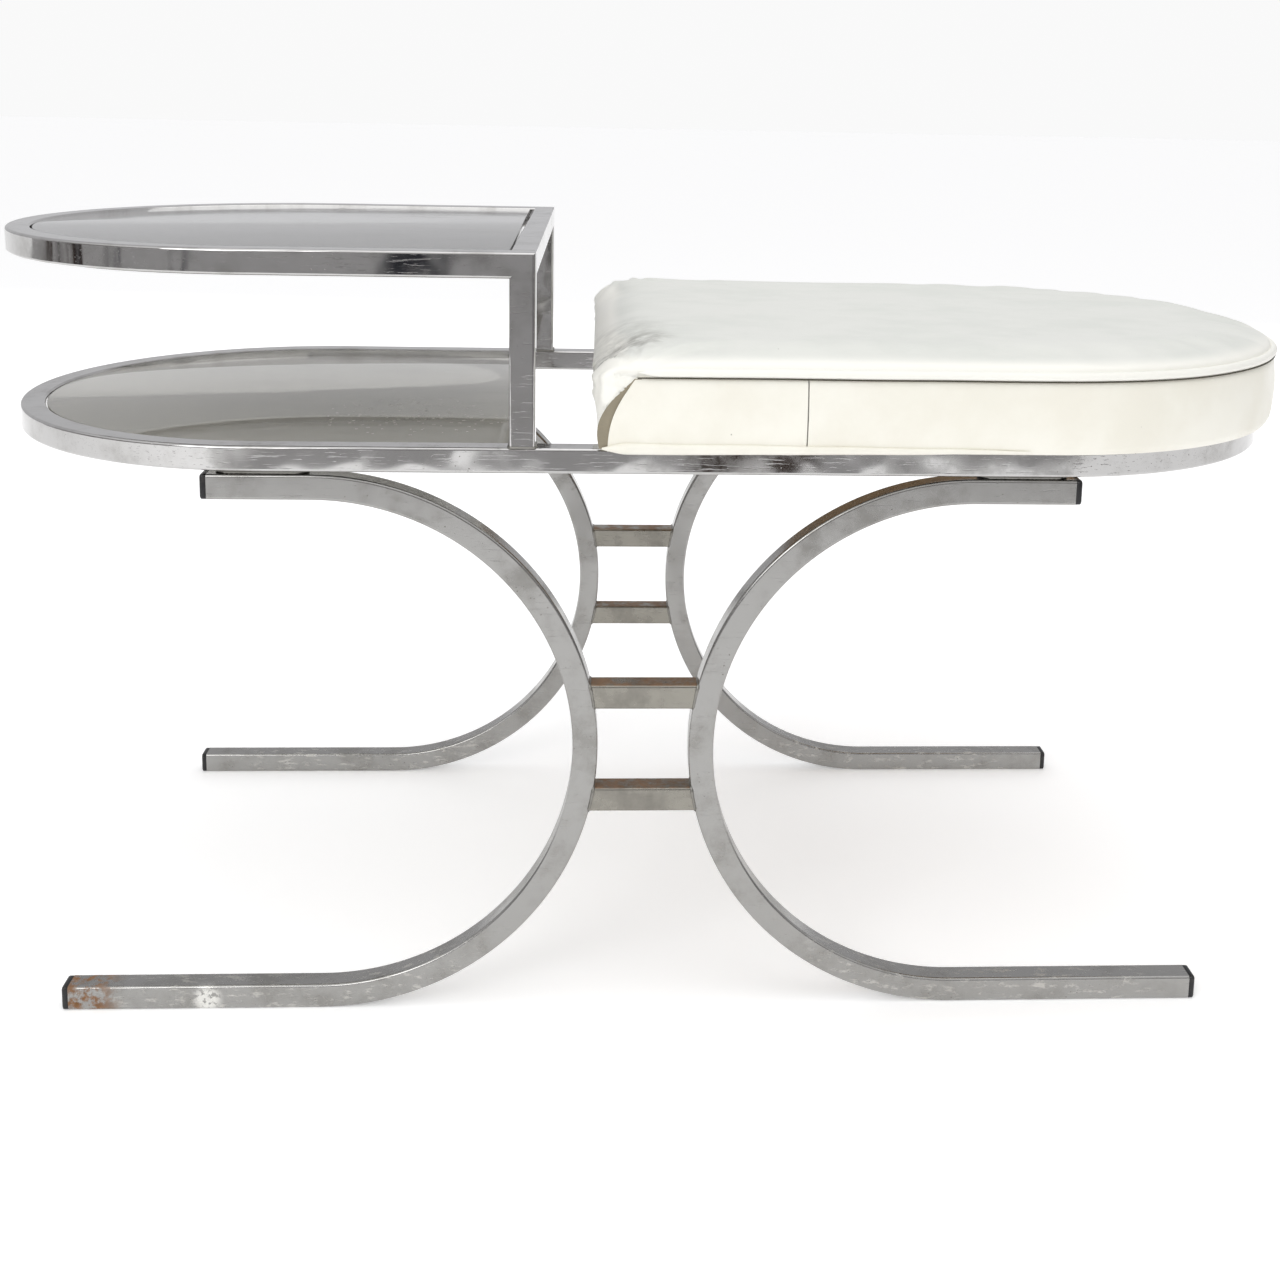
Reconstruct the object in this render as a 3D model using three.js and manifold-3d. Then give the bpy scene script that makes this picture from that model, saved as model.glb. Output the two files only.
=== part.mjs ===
// Telephone bench: a ring of chrome square tube on two pairs of C-shaped legs, with a raised
// glass shelf and a lower glass shelf at the left and a padded seat at the right.
// Millimetres, +X to the seat end, +Y to the back, +Z up. The origin is the centre of the
// bench's outline on the floor.
import * as THREE from 'three';
import { mergeVertices } from 'three/addons/utils/BufferGeometryUtils.js';
import Module from 'manifold-3d';

// Driving dimensions.
const tube = 19.05; // outside of the square tube, 3/4 inch
const wall = 1.5; // wall of the tube
const corner = 2; // rounding of the tube's edges
const fitGap = 0.3; // gap between pieces that touch
const benchDepth = 457.2; // 18 inches over the ring
const ringLength = 1046;
const ringOffset = 6.7; // the ring's centre from the legs' centre
const upperReach = 5.4; // how far the upper ring passes the lower ring at the left
const legRadius = 211.2; // outside of a leg's half circle
const waistHalf = 34.4; // from the legs' centre to the face of each leg at the waist
const footReach = 436.6; // from the legs' centre to the end of a foot's tube
const topReach = 320.4; // from the legs' centre to the end of a leg's flat top
const legInset = 3.7; // from the ring's face to a leg frame's face
const weldHeight = 3; // seam between the flat tops of the legs and the ring
const rungSpacing = 82; // between the middles of the two rungs of a frame
const upperRingZ = 568.1; // underside of the raised ring
const postX = -101.5; // left face of the posts, from the legs' centre
const glassThickness = 6;
const glassInset = 1.2; // from the ring's inner face to the glass
const glassDrop = 1; // from the ring's top to the glass
const tabThickness = 3;
const padThickness = 1.5;
const boardThickness = 12;
const seatLeft = -46; // left end of the cushion, from the legs' centre
const seatOverhang = 12; // cushion past the ring, all round
const seatHeight = 72; // cushion above the ring
const capRise = 5; // an end cap's head past the tube's end

// Derived places.
const legHeight = 2 * legRadius;
const ringZ = legHeight + weldHeight;
const ringTop = ringZ + tube;
const upperTop = upperRingZ + tube;
const halfDepth = benchDepth / 2;
const ringRight = ringOffset + ringLength / 2;
const ringLeft = ringOffset - ringLength / 2;
const seatRight = ringRight + seatOverhang;
const outlineLeft = ringLeft - upperReach;
const legAxisX = -(outlineLeft + seatRight) / 2; // moves the outline's centre to x = 0
const archX = waistHalf + legRadius; // centre of a leg's half circle
const legCentreY = halfDepth - legInset - tube / 2; // middle plane of a leg frame
const innerHalf = halfDepth - tube; // inner face of the ring

const wasm = await Module();
wasm.setup();

const chrome = { color: 0xb9b8b4, roughness: 0.12, metalness: 1 };
const weldSteel = { color: 0xa7a5a0, roughness: 0.35, metalness: 1 };
const blackPlastic = { color: 0x1b1a19, roughness: 0.45, metalness: 0 };
const smokedGlass = { color: 0x8f8d86, roughness: 0.05, metalness: 0 };
const clearRubber = { color: 0xd8d6cc, roughness: 0.4, metalness: 0 };
const plywood = { color: 0xb98f5f, roughness: 0.7, metalness: 0 };
const whiteVinyl = { color: 0xe9e8dd, roughness: 0.42, metalness: 0 };
const zincScrew = { color: 0x9b9c9a, roughness: 0.4, metalness: 1 };

const bench = new THREE.Group();
bench.position.x = legAxisX;

function addPiece(name, geometry, finish) {
  const piece = new THREE.Mesh(geometry, new THREE.MeshStandardMaterial(finish));
  piece.name = name;
  bench.add(piece);
  return piece;
}

function solidOf(geometry, matrix) {
  const bare = geometry.clone();
  bare.deleteAttribute('normal');
  bare.deleteAttribute('uv');
  if (matrix) bare.applyMatrix4(matrix);
  const merged = mergeVertices(bare, 1e-3);
  const triVerts = new Uint32Array(merged.index.array);
  const vertProperties = merged.attributes.position.array;
  return new wasm.Manifold(new wasm.Mesh({ numProp: 3, vertProperties, triVerts }));
}

function geometryOf(solid) {
  const mesh = solid.getMesh();
  const geometry = new THREE.BufferGeometry();
  geometry.setAttribute('position', new THREE.BufferAttribute(mesh.vertProperties, 3));
  geometry.setIndex(new THREE.BufferAttribute(mesh.triVerts, 1));
  return geometry;
}

function moved(x, y, z) {
  return new THREE.Matrix4().makeTranslation(x, y, z);
}

function boxSolid(low, high) {
  const size = high.map((value, i) => value - low[i]);
  const middle = high.map((value, i) => (value + low[i]) / 2);
  return solidOf(new THREE.BoxGeometry(...size), moved(...middle));
}

// A square with its corners cut off, as a closed path of eight points.
function squareOutline(Path, side, cut) {
  const half = side / 2;
  const outline = new Path();
  outline.moveTo(half - cut, -half);
  outline.lineTo(half, -half + cut);
  outline.lineTo(half, half - cut);
  outline.lineTo(half - cut, half);
  outline.lineTo(-half + cut, half);
  outline.lineTo(-half, half - cut);
  outline.lineTo(-half, -half + cut);
  outline.lineTo(-half + cut, -half);
  outline.closePath();
  return outline;
}

function tubeSection() {
  const section = squareOutline(THREE.Shape, tube, corner * 0.6);
  section.holes.push(squareOutline(THREE.Path, tube - 2 * wall, corner * 0.3));
  return section;
}

// A straight open tube from z = 0 to z = length.
function straightTube(length) {
  return new THREE.ExtrudeGeometry(tubeSection(), { depth: length, bevelEnabled: false });
}

function sweptTube(path, steps) {
  return new THREE.ExtrudeGeometry(tubeSection(), { extrudePath: path, steps, bevelEnabled: false });
}

// Points of a line, half circle, line path in the XZ plane, opening to -X.
function archPath() {
  const turn = legRadius - tube / 2;
  const topZ = legHeight - tube / 2;
  const points = [new THREE.Vector3(-topReach, 0, topZ)];
  const turnSteps = 22;
  for (let i = 0; i <= turnSteps; i += 1) {
    const angle = Math.PI / 2 - (Math.PI * i) / turnSteps;
    points.push(new THREE.Vector3(
      -archX + turn * Math.cos(angle), 0, legHeight / 2 + turn * Math.sin(angle)));
  }
  points.push(new THREE.Vector3(-footReach, 0, tube / 2));
  return points;
}

// A curve that passes straight from point to point, one step for each stretch.
class PointPath extends THREE.Curve {
  constructor(points) {
    super();
    this.points = points;
  }

  getPoint(t, target = new THREE.Vector3()) {
    const place = t * (this.points.length - 1);
    const index = Math.min(Math.floor(place + 1e-9), this.points.length - 2);
    return target.lerpVectors(this.points[index], this.points[index + 1], place - index);
  }

  getPointAt(t, target) {
    return this.getPoint(t, target);
  }

  getTangentAt(t, target = new THREE.Vector3()) {
    const place = t * (this.points.length - 1);
    const index = Math.round(place);
    const before = this.points[Math.max(index - 1, 0)];
    const after = this.points[Math.min(index + 1, this.points.length - 1)];
    return target.subVectors(after, before).normalize();
  }
}

function sweptAlong(points) {
  return sweptTube(new PointPath(points), points.length - 1);
}

// A stadium outline with its round ends at xLow and xHigh, drawn as a Shape or a Path.
function stadium(Path, xLow, xHigh, halfWidth, clockwise) {
  const outline = new Path();
  const side = clockwise ? -1 : 1;
  outline.moveTo(xLow + halfWidth, -side * halfWidth);
  outline.lineTo(xHigh - halfWidth, -side * halfWidth);
  outline.absarc(xHigh - halfWidth, 0, halfWidth, -side * Math.PI / 2, side * Math.PI / 2, clockwise);
  outline.lineTo(xLow + halfWidth, side * halfWidth);
  outline.absarc(xLow + halfWidth, 0, halfWidth, side * Math.PI / 2, side * Math.PI * 1.5, clockwise);
  outline.closePath();
  return outline;
}

const arcSteps = 20; // straight stretches in each round end

// A stadium ring, beside its own inner outline, as a plate of the given height from z = 0.
function stadiumRing(inset, height, bevel) {
  const outer = stadium(THREE.Shape, ringLeft + inset, ringRight - inset, halfDepth - inset, false);
  const innerInset = tube - inset;
  outer.holes.push(stadium(THREE.Path, ringLeft + innerInset, ringRight - innerInset,
    halfDepth - innerInset, true));
  return new THREE.ExtrudeGeometry(outer, {
    depth: height - 2 * bevel,
    curveSegments: arcSteps,
    bevelEnabled: bevel > 0,
    bevelSize: bevel,
    bevelThickness: bevel,
    bevelOffset: -bevel,
    bevelSegments: 1,
  });
}

function makeLowerRing() {
  const cut = corner * 0.6;
  const shell = solidOf(stadiumRing(0, tube, cut), moved(0, 0, ringZ + cut));
  const hollow = solidOf(stadiumRing(wall, tube - 2 * wall, 0), moved(0, 0, ringZ + wall));
  let ring = shell.subtract(hollow);
  const ventRadius = 4; // drain holes for the plating bath, under the ring
  const midWall = halfDepth - tube / 2;
  for (const x of [ringLeft + tube / 2, ringRight - tube / 2]) {
    ring = ring.subtract(ventSolid(x, 0, ventRadius));
  }
  for (const side of [-1, 1]) {
    ring = ring.subtract(ventSolid(ringOffset, side * midWall, ventRadius));
  }
  addPiece('lower_ring', geometryOf(ring), chrome);
}

function ventSolid(x, y, radius) {
  const drill = new THREE.CylinderGeometry(radius, radius, 4 * wall, 12);
  drill.rotateX(Math.PI / 2);
  return solidOf(drill, moved(x, y, ringZ));
}

// A block on the far side of the 45 degree joint between the raised ring and a post.
function mitreCutter(cutsRing, y) {
  const size = 6 * tube;
  const shift = (size - fitGap) / 2;
  const cutter = new THREE.BoxGeometry(size, 2 * tube, size);
  cutter.translate(cutsRing ? shift : -shift, 0, 0);
  cutter.rotateY(Math.PI / 4);
  return solidOf(cutter, moved(postX + tube / 2, y, upperRingZ + tube / 2));
}

function makeUpperRing() {
  const turn = halfDepth - tube / 2;
  const centreX = outlineLeft + halfDepth;
  const z = upperRingZ + tube / 2;
  const points = [new THREE.Vector3(postX + tube, -turn, z)];
  for (let i = 0; i <= arcSteps; i += 1) {
    const angle = -Math.PI / 2 - (Math.PI * i) / arcSteps;
    points.push(new THREE.Vector3(
      centreX + turn * Math.cos(angle), turn * Math.sin(angle), z));
  }
  points.push(new THREE.Vector3(postX + tube, turn, z));
  const ring = solidOf(sweptAlong(points))
    .subtract(mitreCutter(true, -turn))
    .subtract(mitreCutter(true, turn));
  addPiece('upper_ring', geometryOf(ring), chrome);
}

function makePosts() {
  const length = upperTop - ringTop - fitGap;
  for (const [frameName, side] of frames) {
    const y = side * (halfDepth - tube / 2);
    const post = solidOf(straightTube(length), moved(postX + tube / 2, y, ringTop + fitGap));
    addPiece(`shelf_post_${frameName}`, geometryOf(post.subtract(mitreCutter(false, y))), chrome);
  }
}

function makeCrossRail() {
  const length = 2 * (innerHalf - fitGap);
  const rail = straightTube(length);
  rail.rotateX(-Math.PI / 2);
  rail.translate(postX + tube / 2, -length / 2, upperRingZ + tube / 2);
  addPiece('upper_cross_rail', rail, chrome);
}

const sides = [['left', 1], ['right', -1]];
const frames = [['front', -1], ['rear', 1]];

// Turns a piece made for the left half to the right half.
function placeOnSide(piece, side, y) {
  piece.position.y = y;
  if (side < 0) piece.rotation.z = Math.PI;
}

function makeLegs() {
  for (const [frameName, frameSide] of frames) {
    for (const [sideName, side] of sides) {
      const leg = addPiece(`leg_${frameName}_${sideName}`, sweptAlong(archPath()), chrome);
      placeOnSide(leg, side, frameSide * legCentreY);
    }
  }
}

// A rung's ends follow the round backs of the legs.
function makeRungs() {
  const reach = waistHalf + 14;
  for (const [frameName, frameSide] of frames) {
    for (const [levelName, level] of [['upper', 1], ['lower', -1]]) {
      const z = legHeight / 2 + level * rungSpacing / 2;
      const bar = straightTube(2 * reach);
      bar.rotateY(Math.PI / 2);
      let rung = solidOf(bar, moved(-reach, frameSide * legCentreY, z));
      for (const side of [-1, 1]) rung = rung.subtract(legBackSolid(side, frameSide));
      addPiece(`rung_${frameName}_${levelName}`, geometryOf(rung), chrome);
    }
  }
}

function legBackSolid(side, frameSide) {
  const back = new THREE.CylinderGeometry(
    legRadius + fitGap, legRadius + fitGap, 2 * tube, 120);
  return solidOf(back, moved(side * archX, frameSide * legCentreY, legHeight / 2));
}

// An end cap: a domed head on a square plug that fills the tube's end, made along +Z.
function capGeometry() {
  const edge = 1.6; // rounding of the head
  const head = new THREE.ExtrudeGeometry(squareOutline(THREE.Shape, tube - 0.3, corner * 0.6), {
    depth: capRise,
    bevelEnabled: true,
    bevelSize: edge,
    bevelThickness: edge,
    bevelOffset: -edge,
    bevelSegments: 2,
  });
  head.translate(0, 0, -edge);
  const front = solidOf(head).intersect(
    boxSolid([-tube, -tube, fitGap], [tube, tube, 3 * capRise]));
  const plugSide = tube - 2 * wall - 2 * fitGap;
  const plugDepth = 14;
  const plug = new THREE.ExtrudeGeometry(squareOutline(THREE.Shape, plugSide, corner * 0.5), {
    depth: plugDepth + capRise / 2,
    bevelEnabled: false,
  });
  plug.translate(0, 0, -plugDepth);
  const cap = geometryOf(solidOf(plug).add(front));
  cap.rotateY(-Math.PI / 2);
  return cap;
}

function makeCaps() {
  for (const [frameName, frameSide] of frames) {
    for (const [sideName, side] of sides) {
      const ends = [['top', topReach, legHeight - tube / 2], ['foot', footReach, tube / 2]];
      for (const [endName, reach, z] of ends) {
        const cap = addPiece(`cap_${endName}_${frameName}_${sideName}`, capGeometry(), blackPlastic);
        cap.position.set(side * -reach, frameSide * legCentreY, z);
        if (side < 0) cap.rotation.z = Math.PI;
      }
    }
  }
}

// The seam between a leg's flat top and the ring.
function makeWelds() {
  const length = topReach - archX - 8;
  const width = tube - 3;
  for (const [frameName, frameSide] of frames) {
    for (const [sideName, side] of sides) {
      const seam = new THREE.BoxGeometry(length, width, weldHeight - 2 * fitGap);
      const weld = addPiece(`weld_${frameName}_${sideName}`, seam, weldSteel);
      const x = side * -(archX + length / 2 + 2);
      weld.position.set(x, frameSide * legCentreY, (legHeight + ringZ) / 2);
    }
  }
}

// Outline of a pane: half circle at the left, straight cut at the right.
function paneOutline(left, right, half, skew) {
  const outline = new THREE.Shape();
  outline.moveTo(left + half, -half);
  outline.lineTo(right, -half);
  outline.lineTo(right - skew, half);
  outline.lineTo(left + half, half);
  outline.absarc(left + half, 0, half, Math.PI / 2, Math.PI * 1.5, false);
  outline.closePath();
  return outline;
}

function makePane(name, left, right, topZ, skew) {
  const half = innerHalf - glassInset;
  const pane = new THREE.ExtrudeGeometry(paneOutline(left, right, half, skew), {
    depth: glassThickness,
    curveSegments: arcSteps,
    bevelEnabled: false,
  });
  pane.translate(0, 0, topZ - glassThickness);
  addPiece(name, pane, smokedGlass);
}

// A round-nosed steel tab that stands in from the ring's inner face, made along +X.
const tabReach = 24;
const tabWidth = 26;

function tabShape() {
  const nose = tabWidth / 2;
  const outline = new THREE.Shape();
  outline.moveTo(0, -nose);
  outline.lineTo(tabReach - nose, -nose);
  outline.absarc(tabReach - nose, 0, nose, -Math.PI / 2, Math.PI / 2, false);
  outline.lineTo(0, nose);
  outline.closePath();
  return outline;
}

// Where the tabs of one shelf stand: place on the inner face and the way they point.
function shelfTabs(centreX, rightX) {
  const round = innerHalf - 1.6;
  const angle = Math.PI / 4;
  return [
    { side: 'front_left', x: centreX - round * Math.cos(angle), y: -round * Math.sin(angle), turn: angle },
    { side: 'rear_left', x: centreX - round * Math.cos(angle), y: round * Math.sin(angle), turn: -angle },
    { side: 'front_right', x: rightX, y: -innerHalf + fitGap, turn: Math.PI / 2 },
    { side: 'rear_right', x: rightX, y: innerHalf - fitGap, turn: -Math.PI / 2 },
  ];
}

function makeGlassTabs(shelf, centreX, rightX, topZ) {
  const padTop = topZ - glassThickness - fitGap / 2;
  const tabTop = padTop - padThickness - fitGap / 2;
  for (const place of shelfTabs(centreX, rightX)) {
    const plate = new THREE.ExtrudeGeometry(tabShape(), {
      depth: tabThickness,
      curveSegments: 6,
      bevelEnabled: false,
    });
    const tab = addPiece(`glass_tab_${shelf}_${place.side}`, plate, chrome);
    tab.position.set(place.x, place.y, tabTop - tabThickness);
    tab.rotation.z = place.turn;
  }
  for (const place of shelfTabs(centreX, rightX)) {
    const disc = new THREE.CylinderGeometry(5, 5, padThickness, 16);
    disc.rotateX(Math.PI / 2);
    const pad = addPiece(`glass_pad_${shelf}_${place.side}`, disc, clearRubber);
    const reach = tabReach - tabWidth / 2;
    const x = place.x + reach * Math.cos(place.turn);
    const y = place.y + reach * Math.sin(place.turn);
    pad.position.set(x, y, padTop - padThickness / 2);
  }
}

// Points of an arc about (x, y), from one angle to another.
function arcPoints(x, y, radius, from, to, steps) {
  return Array.from({ length: steps + 1 }, (none, i) => {
    const angle = from + ((to - from) * i) / steps;
    return new THREE.Vector2(x + radius * Math.cos(angle), y + radius * Math.sin(angle));
  });
}

// The seat's outline: straight at the left, half circle at the right.
function seatOutline(left, right, half, round) {
  const quarter = Math.PI / 2;
  return new THREE.Shape([
    ...arcPoints(right - half, 0, half, -quarter, quarter, 20),
    ...arcPoints(left + round, half - round, round, quarter, 2 * quarter, 3),
    ...arcPoints(left + round, round - half, round, 2 * quarter, 3 * quarter, 3),
  ]);
}

function makeSeat() {
  const boardInset = 16; // board inside the cushion's side
  const boardZ = ringTop + fitGap;
  const half = halfDepth + seatOverhang;
  const board = new THREE.ExtrudeGeometry(
    seatOutline(seatLeft + boardInset, seatRight - boardInset, half - boardInset, 12),
    { depth: boardThickness, bevelEnabled: false });
  board.translate(0, 0, boardZ);
  const edge = 10; // rounding of the cushion's edges
  const skirt = 4; // how far the cover hangs past the ring's top
  const foam = new THREE.ExtrudeGeometry(seatOutline(seatLeft, seatRight, half, 14), {
    depth: seatHeight - 2 * edge,
    bevelEnabled: true,
    bevelSize: edge,
    bevelThickness: edge,
    bevelOffset: -edge,
    bevelSegments: 2,
  });
  foam.translate(0, 0, ringTop + edge + fitGap);
  const room = new THREE.ExtrudeGeometry(
    seatOutline(seatLeft + boardInset - 1, seatRight - boardInset + 1, half - boardInset + 1, 12),
    { depth: boardThickness + fitGap + skirt, bevelEnabled: false });
  room.translate(0, 0, ringTop - skirt);
  addPiece('seat_board', board, plywood);
  addPiece('seat_cushion', geometryOf(solidOf(foam).subtract(solidOf(room))), whiteVinyl);
  makeSeatFixings(boardZ);
}

// Steel tabs inside the ring and the screws that hold the board to them.
function makeSeatFixings(boardZ) {
  const pilots = [];
  const tabTop = ringTop - fitGap;
  for (const [endName, x] of [['left', 60], ['right', 285]]) {
    for (const [frameName, side] of frames) {
      const plate = new THREE.ExtrudeGeometry(tabShape(), {
        depth: tabThickness,
        curveSegments: 6,
        bevelEnabled: false,
      });
      const wallY = side * (innerHalf - fitGap);
      const turn = -side * Math.PI / 2;
      const holeY = wallY - side * (tabReach - tabWidth / 2);
      const blank = solidOf(plate, moved(x, wallY, tabTop - tabThickness)
        .multiply(new THREE.Matrix4().makeRotationZ(turn)));
      const hole = uprightRod(2.6, x, holeY, tabTop - 2 * tabThickness, ringTop);
      addPiece(`seat_tab_${frameName}_${endName}`, geometryOf(blank.subtract(hole)), chrome);
      const shank = uprightRod(2, x, holeY, tabTop - tabThickness - 2, boardZ + 8);
      const head = uprightRod(4.5, x, holeY, tabTop - tabThickness - 3, tabTop - tabThickness - fitGap);
      addPiece(`seat_screw_${frameName}_${endName}`, geometryOf(shank.add(head)), zincScrew);
      pilots.push(uprightRod(2.3, x, holeY, boardZ - 1, boardZ + 9));
    }
  }
  const board = bench.getObjectByName('seat_board');
  let drilled = solidOf(board.geometry);
  for (const pilot of pilots) {
    drilled = drilled.subtract(pilot);
  }
  board.geometry = geometryOf(drilled);
}

function uprightRod(radius, x, y, low, high) {
  const rod = new THREE.CylinderGeometry(radius, radius, high - low, 12);
  rod.rotateX(Math.PI / 2);
  return solidOf(rod, moved(x, y, (low + high) / 2));
}

makeLowerRing();
makeUpperRing();
makePosts();
makeCrossRail();
makeLegs();
makeRungs();
makeCaps();
makeWelds();
const lowerPaneLeft = ringLeft + tube + glassInset;
const upperPaneLeft = outlineLeft + tube + glassInset;
makePane('lower_glass', lowerPaneLeft, postX - 1, ringTop - glassDrop, 0);
makePane('upper_glass', upperPaneLeft, postX - 1, upperTop - glassDrop, 3);
makeGlassTabs('lower', ringLeft + halfDepth, postX - 18, ringTop - glassDrop);
makeGlassTabs('upper', outlineLeft + halfDepth, postX - 18, upperTop - glassDrop);
makeSeat();

export default bench;
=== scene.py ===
import math
import random

import bmesh
import bpy
from mathutils import Matrix, Vector, noise


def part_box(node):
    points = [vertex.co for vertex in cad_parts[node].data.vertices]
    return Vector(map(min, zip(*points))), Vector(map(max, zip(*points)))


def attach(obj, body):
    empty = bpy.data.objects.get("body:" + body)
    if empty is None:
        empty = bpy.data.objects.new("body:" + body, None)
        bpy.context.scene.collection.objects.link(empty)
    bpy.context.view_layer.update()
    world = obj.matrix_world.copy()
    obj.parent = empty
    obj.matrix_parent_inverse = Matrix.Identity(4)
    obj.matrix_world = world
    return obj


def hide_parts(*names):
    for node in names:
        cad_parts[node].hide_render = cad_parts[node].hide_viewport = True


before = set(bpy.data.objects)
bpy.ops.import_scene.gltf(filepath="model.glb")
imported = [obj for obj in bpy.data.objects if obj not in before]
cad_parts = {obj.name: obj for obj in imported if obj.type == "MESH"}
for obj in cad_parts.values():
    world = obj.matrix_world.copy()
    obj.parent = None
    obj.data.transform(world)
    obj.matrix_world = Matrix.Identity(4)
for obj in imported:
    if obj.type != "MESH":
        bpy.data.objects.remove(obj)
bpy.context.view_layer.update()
print("stage: frame loaded")


def low(node):
    return Vector(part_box(node)[0])


def high(node):
    return Vector(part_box(node)[1])


tube = high("lower_ring").z - low("lower_ring").z  # side of the square tube
halfDepth = high("lower_ring").y
ringLow, ringTop = low("lower_ring").z, high("lower_ring").z
upperLow, upperTop = low("upper_ring").z, high("upper_ring").z
legHeight = high("leg_front_left").z
legRadius = legHeight / 2
legAxisX = (low("leg_front_left").x + high("leg_front_right").x) / 2  # the legs' middle
waistHalf = low("leg_front_right").x - legAxisX
legY = (low("leg_rear_left").y + high("leg_rear_left").y) / 2
footReach = high("leg_front_right").x - legAxisX
capRise = 0.005  # head of an end cap past the tube, as in the CAD model
topReach = legAxisX - low("cap_top_front_left").x - capRise
postX = (low("shelf_post_front").x + high("shelf_post_front").x) / 2
seatLow, seatHigh = low("seat_cushion"), high("seat_cushion")

smooth = {"interpolation_type": "SMOOTHSTEP"}  # settings that many of the nodes below share
times, plus, larger = {"operation": "MULTIPLY"}, {"operation": "ADD"}, {"operation": "MAXIMUM"}
inColour = {"data_type": "RGBA"}


def colour(text):
    parts = [int(text[i:i + 2], 16) / 255 for i in (1, 3, 5)]  # sRGB hex made linear
    return [c / 12.92 if c <= 0.04045 else ((c + 0.055) / 1.055) ** 2.4 for c in parts] + [1.0]


def perSize(mm):
    return 1000 / mm  # pattern scale for features of this many millimetres


def addNode(owner, kind, inputs=(), output=0, **settings):
    node = owner.node_tree.nodes.new("ShaderNode" + kind)
    for key, value in settings.items():
        setattr(node, key, value)
    for key, value in inputs.items() if isinstance(inputs, dict) else enumerate(inputs):
        if isinstance(value, bpy.types.NodeSocket):
            owner.node_tree.links.new(value, node.inputs[key])
        else:
            node.inputs[key].default_value = value
    return node.outputs[output]


def newMaterial(name, settings):
    material = bpy.data.materials.new(name)
    material.use_nodes = True
    shader = material.node_tree.nodes["Principled BSDF"]
    for key, value in settings.items():
        shader.inputs[key].default_value = value
    return material, shader, addNode(material, "TexCoord", output="Object")


def finishShader(material, shader, sources, bumps):
    for socket, source in sources.items():
        material.node_tree.links.new(source, shader.inputs[socket])
    relief = {}
    for height, strength, distance in bumps:  # bumps in metres, one laid over the other
        relief = {"Normal": addNode(material, "Bump", {
            "Height": height, "Strength": strength, "Distance": distance, **relief})}
    material.node_tree.links.new(relief["Normal"], shader.inputs["Normal"])


def patches(material, place, mm, start, end, detail=4.0, rough=0.55, stretch=None):
    if stretch:  # cloudy patches of about this size, 0 below start and 1 above end
        place = addNode(material, "Mapping", {"Vector": place, "Scale": stretch})
    cloud = addNode(material, "TexNoise", {
        "Vector": place, "Scale": perSize(mm), "Detail": detail, "Roughness": rough})
    return addNode(material, "MapRange", (cloud, start, end), **smooth)


def spotPatches(material, place, spot, mask):
    centre, radius = spot  # keeps a mask near the spot only
    away = addNode(material, "VectorMath", (place, centre), 1, operation="DISTANCE")
    near = addNode(material, "MapRange", (away, radius * 0.35, radius, 1.0, 0.0), **smooth)
    return addNode(material, "Math", (near, mask), **times)


chromeLook = {
    "ring": {"metal": "#c2c1c0", "haze": 0.05, "grime": 0.4, "ripple": 0.16},
    "leg": {"metal": "#a3a2a0", "haze": 0.2, "grime": 0.5, "ripple": 0.06},
    "rung": {"metal": "#96938b", "haze": 0.24, "grime": 0.8, "ripple": 0.05},
    "tab": {"metal": "#8f8d88", "haze": 0.25, "grime": 0.6, "ripple": 0.04},
    "weld": {"metal": "#8f8d88", "haze": 0.34, "grime": 0.6, "ripple": 0.1},
    "dirt": "#7d7a74", "pinhole": "#4a3a2c", "rust": ("#5a3a22", "#a0744a"),
    "scuff": "#dad8d2", "paint": "#e4e3df",
}


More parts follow.
